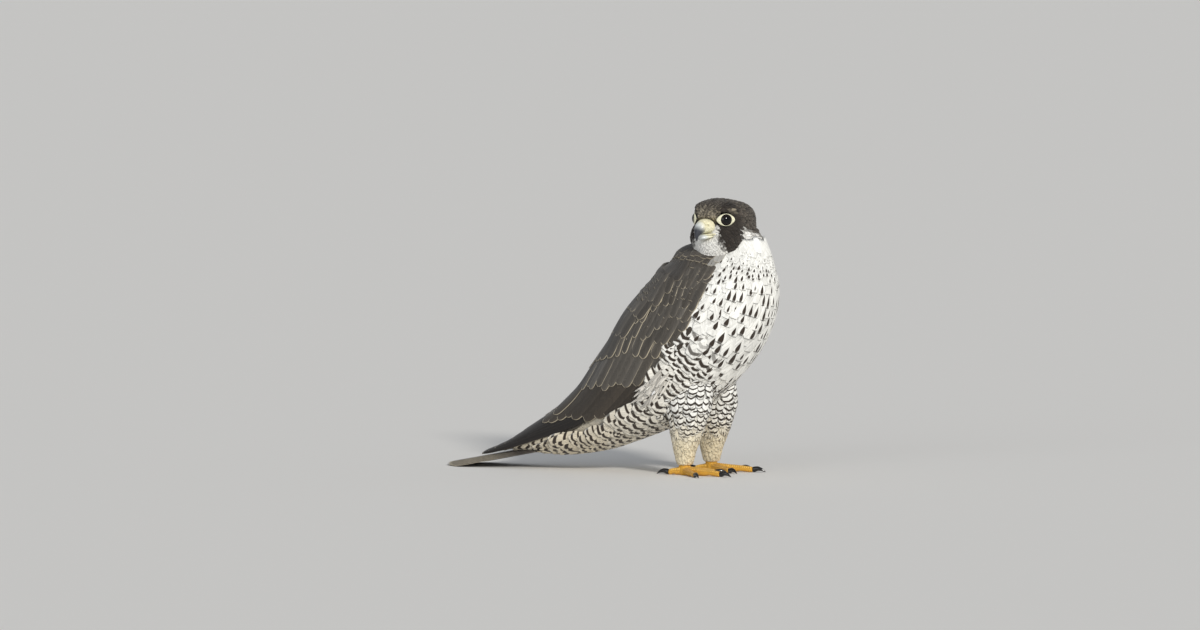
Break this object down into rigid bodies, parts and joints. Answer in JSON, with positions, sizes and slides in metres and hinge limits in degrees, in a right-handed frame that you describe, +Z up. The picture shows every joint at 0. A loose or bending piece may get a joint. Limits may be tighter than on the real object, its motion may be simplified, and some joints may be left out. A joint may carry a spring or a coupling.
{
  "type": "peregrine falcon",
  "caption": "Life-size still model of a peregrine falcon, standing with folded wings and its head turned over one wing, tail resting on the ground.",
  "frame": {"origin": "on the ground, under the middle of the bird's whole length and width", "axes": "+X where the breast faces, +Y to the bird's left, +Z up"},
  "size_m": [0.3843, 0.134, 0.2995],
  "materials": {
    "pale_plumage": "soft pale feathers with dark drops and bars",
    "head_plumage": "short soft feathers, dark cap and cheek stripe, white throat",
    "wing_plumage": "grey-brown feathers with pale edges",
    "tail_plumage": "barred grey-brown feathers with pale tips",
    "horn": "smooth horn, blue-white with a dark tip",
    "cere": "bare waxy yellow skin",
    "eye": "wet black-brown",
    "foot_skin": "yellow scaled skin",
    "claw": "polished black horn"
  },
  "bodies": {
    "root": {"torso": "pale_plumage", "neck": "pale_plumage", "leg_left": "pale_plumage", "leg_right": "pale_plumage", "head": "head_plumage", "wing_left": "wing_plumage", "wing_right": "wing_plumage", "tail": "tail_plumage", "bill_upper": "horn", "bill_lower": "horn", "cere": "cere", "eye_left": "eye", "eye_right": "eye", "foot_left": "foot_skin", "foot_right": "foot_skin", "claw_left_inner": "claw", "claw_left_middle": "claw", "claw_left_outer": "claw", "claw_left_hind": "claw", "claw_right_inner": "claw", "claw_right_middle": "claw", "claw_right_outer": "claw", "claw_right_hind": "claw"}
  },
  "joints": []
}
